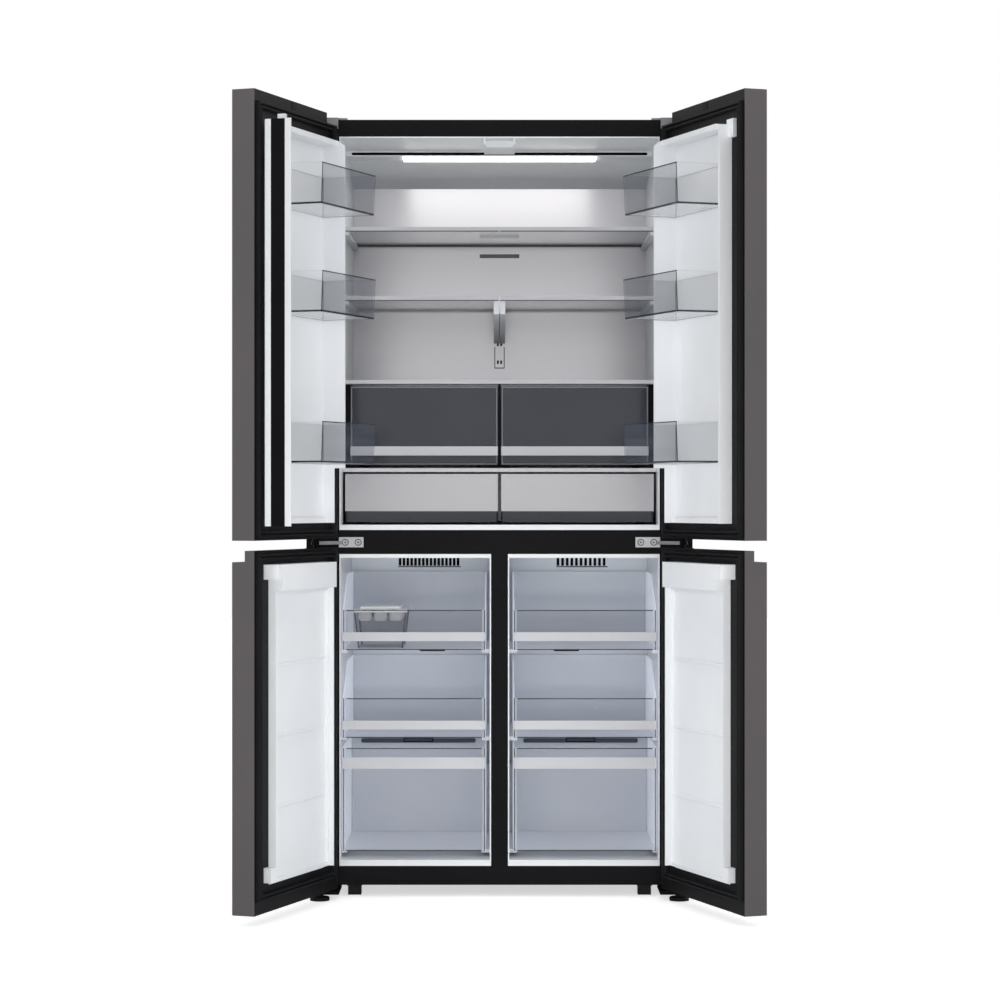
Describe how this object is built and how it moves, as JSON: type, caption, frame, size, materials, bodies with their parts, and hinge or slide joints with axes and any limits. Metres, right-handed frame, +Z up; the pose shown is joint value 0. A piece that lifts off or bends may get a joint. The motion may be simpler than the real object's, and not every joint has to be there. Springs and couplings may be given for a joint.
{
  "type": "four-door refrigerator",
  "caption": "Wide refrigerator-freezer with French doors above, freezer doors below, glass shelves, pull-out drawers, door bins and a flip mullion.",
  "frame": {"origin": "on the floor, under the middle of the object's box with all doors open as in the picture", "axes": "+X to the right seen from the front, +Y from the front to the back, +Z up"},
  "size_m": [1.1724, 1.1292, 1.841],
  "materials": {
    "case_paint": "satin",
    "rear_sheet": "matte",
    "door_steel": "satin",
    "black_plastic": "satin",
    "white_plastic": "satin",
    "foam": "foamed",
    "seal_rubber": "matte",
    "back_steel": "brushed",
    "pale_plastic": "satin",
    "lamp": "frosted",
    "shelf_glass": "clear",
    "trim_silver": "satin",
    "smoke_clear": "clear",
    "clear_plastic": "clear",
    "bin_clear": "clear",
    "pantry_steel": "brushed",
    "hinge_steel": "satin",
    "tray_steel": "satin",
    "compressor_paint": "satin",
    "coil_aluminium": "satin",
    "foot_plastic": "matte"
  },
  "bodies": {
    "cabinet": {"outer_case": "case_paint", "rear_panel": "rear_sheet", "cabinet_foam": "foam", "fridge_liner": "white_plastic", "freezer_liner": "white_plastic", "front_frame": "black_plastic", "fridge_duct_panel": "back_steel", "freezer_duct_panel": "pale_plastic", "lamp_lens": "lamp", "glass_shelves": "shelf_glass", "shelf_fittings": "trim_silver", "drawer_rails": "black_plastic", "top_hinges": "hinge_steel", "middle_hinges": "hinge_steel", "bottom_hinges": "hinge_steel", "hinge_screws": "hinge_steel", "base_tray": "tray_steel", "compressor": "compressor_paint", "condenser": "coil_aluminium", "evaporator": "coil_aluminium"},
    "upper_left_door": {"upper_left_skin": "door_steel", "upper_left_frame": "black_plastic", "upper_left_foam": "foam", "upper_left_liner": "white_plastic", "upper_left_gasket": "seal_rubber", "left_door_bins": "bin_clear"},
    "upper_right_door": {"upper_right_skin": "door_steel", "upper_right_frame": "black_plastic", "upper_right_foam": "foam", "upper_right_liner": "white_plastic", "upper_right_gasket": "seal_rubber", "right_door_bins": "bin_clear"},
    "lower_left_door": {"lower_left_skin": "door_steel", "lower_left_frame": "black_plastic", "lower_left_foam": "foam", "lower_left_liner": "white_plastic", "lower_left_gasket": "seal_rubber"},
    "lower_right_door": {"lower_right_skin": "door_steel", "lower_right_frame": "black_plastic", "lower_right_foam": "foam", "lower_right_liner": "white_plastic", "lower_right_gasket": "seal_rubber"},
    "mullion": {"mullion_bar": "white_plastic", "mullion_plate": "tray_steel"},
    "left_crisper": {"left_crisper": "smoke_clear"},
    "left_pantry_drawer": {"left_pantry_drawer": "pantry_steel"},
    "left_freezer_drawer_top": {"left_freezer_drawer_top": "clear_plastic", "ice_box": "clear_plastic"},
    "left_freezer_drawer_middle": {"left_freezer_drawer_middle": "clear_plastic"},
    "left_freezer_drawer_bottom": {"left_freezer_drawer_bottom": "clear_plastic"},
    "right_crisper": {"right_crisper": "smoke_clear"},
    "right_pantry_drawer": {"right_pantry_drawer": "pantry_steel"},
    "right_freezer_drawer_top": {"right_freezer_drawer_top": "clear_plastic"},
    "right_freezer_drawer_middle": {"right_freezer_drawer_middle": "clear_plastic"},
    "right_freezer_drawer_bottom": {"right_freezer_drawer_bottom": "clear_plastic"},
    "left_foot": {"left_foot": "foot_plastic"},
    "right_foot": {"right_foot": "foot_plastic"},
    "rear_rollers": {"rear_rollers": "foot_plastic"},
    "condenser_fan": {"condenser_fan": "black_plastic"},
    "evaporator_fan": {"evaporator_fan": "pale_plastic"}
  },
  "joints": [
    {"name": "upper_left_door_hinge", "type": "hinge", "parent": "cabinet", "child": "upper_left_door", "pos_m": [-0.431, -0.12844, 1.3], "axis": [0, 0, -1], "range_deg": [-110, 15]},
    {"name": "upper_right_door_hinge", "type": "hinge", "parent": "cabinet", "child": "upper_right_door", "pos_m": [0.431, -0.12844, 1.3], "axis": [0, 0, 1], "range_deg": [-110, 15]},
    {"name": "lower_left_door_hinge", "type": "hinge", "parent": "cabinet", "child": "lower_left_door", "pos_m": [-0.431, -0.12844, 0.425], "axis": [0, 0, -1], "range_deg": [-110, 15]},
    {"name": "lower_right_door_hinge", "type": "hinge", "parent": "cabinet", "child": "lower_right_door", "pos_m": [0.431, -0.12844, 0.425], "axis": [0, 0, 1], "range_deg": [-110, 15]},
    {"name": "mullion_flip", "type": "hinge", "parent": "upper_left_door", "child": "mullion", "pos_m": [-0.50434, -0.53168, 1.3], "axis": [0, 0, 1], "range_deg": [-90, 0]},
    {"name": "left_crisper_slide", "type": "slide", "parent": "cabinet", "child": "left_crisper", "axis": [0, -1, 0], "range_m": [0, 0.25]},
    {"name": "left_pantry_drawer_slide", "type": "slide", "parent": "cabinet", "child": "left_pantry_drawer", "axis": [0, -1, 0], "range_m": [0, 0.3]},
    {"name": "left_freezer_drawer_top_slide", "type": "slide", "parent": "cabinet", "child": "left_freezer_drawer_top", "axis": [0, -1, 0], "range_m": [0, 0.33]},
    {"name": "left_freezer_drawer_middle_slide", "type": "slide", "parent": "cabinet", "child": "left_freezer_drawer_middle", "axis": [0, -1, 0], "range_m": [0, 0.33]},
    {"name": "left_freezer_drawer_bottom_slide", "type": "slide", "parent": "cabinet", "child": "left_freezer_drawer_bottom", "axis": [0, -1, 0], "range_m": [0, 0.3]},
    {"name": "right_crisper_slide", "type": "slide", "parent": "cabinet", "child": "right_crisper", "axis": [0, -1, 0], "range_m": [0, 0.25]},
    {"name": "right_pantry_drawer_slide", "type": "slide", "parent": "cabinet", "child": "right_pantry_drawer", "axis": [0, -1, 0], "range_m": [0, 0.3]},
    {"name": "right_freezer_drawer_top_slide", "type": "slide", "parent": "cabinet", "child": "right_freezer_drawer_top", "axis": [0, -1, 0], "range_m": [0, 0.33]},
    {"name": "right_freezer_drawer_middle_slide", "type": "slide", "parent": "cabinet", "child": "right_freezer_drawer_middle", "axis": [0, -1, 0], "range_m": [0, 0.33]},
    {"name": "right_freezer_drawer_bottom_slide", "type": "slide", "parent": "cabinet", "child": "right_freezer_drawer_bottom", "axis": [0, -1, 0], "range_m": [0, 0.3]},
    {"name": "left_foot_turn", "type": "hinge", "parent": "cabinet", "child": "left_foot", "pos_m": [-0.4205, -0.12844, 0.005], "axis": [0, 0, 1], "continuous": true},
    {"name": "right_foot_turn", "type": "hinge", "parent": "cabinet", "child": "right_foot", "pos_m": [0.4205, -0.12844, 0.005], "axis": [0, 0, 1], "continuous": true},
    {"name": "rear_rollers_roll", "type": "hinge", "parent": "cabinet", "child": "rear_rollers", "pos_m": [0, 0.48556, 0.014], "axis": [1, 0, 0], "continuous": true},
    {"name": "condenser_fan_spin", "type": "hinge", "parent": "cabinet", "child": "condenser_fan", "pos_m": [-0.0268, 0.46706, 0.108], "axis": [1, 0, 0], "continuous": true},
    {"name": "evaporator_fan_spin", "type": "hinge", "parent": "cabinet", "child": "evaporator_fan", "pos_m": [0, 0.43456, 0.66], "axis": [0, 1, 0], "continuous": true}
  ]
}
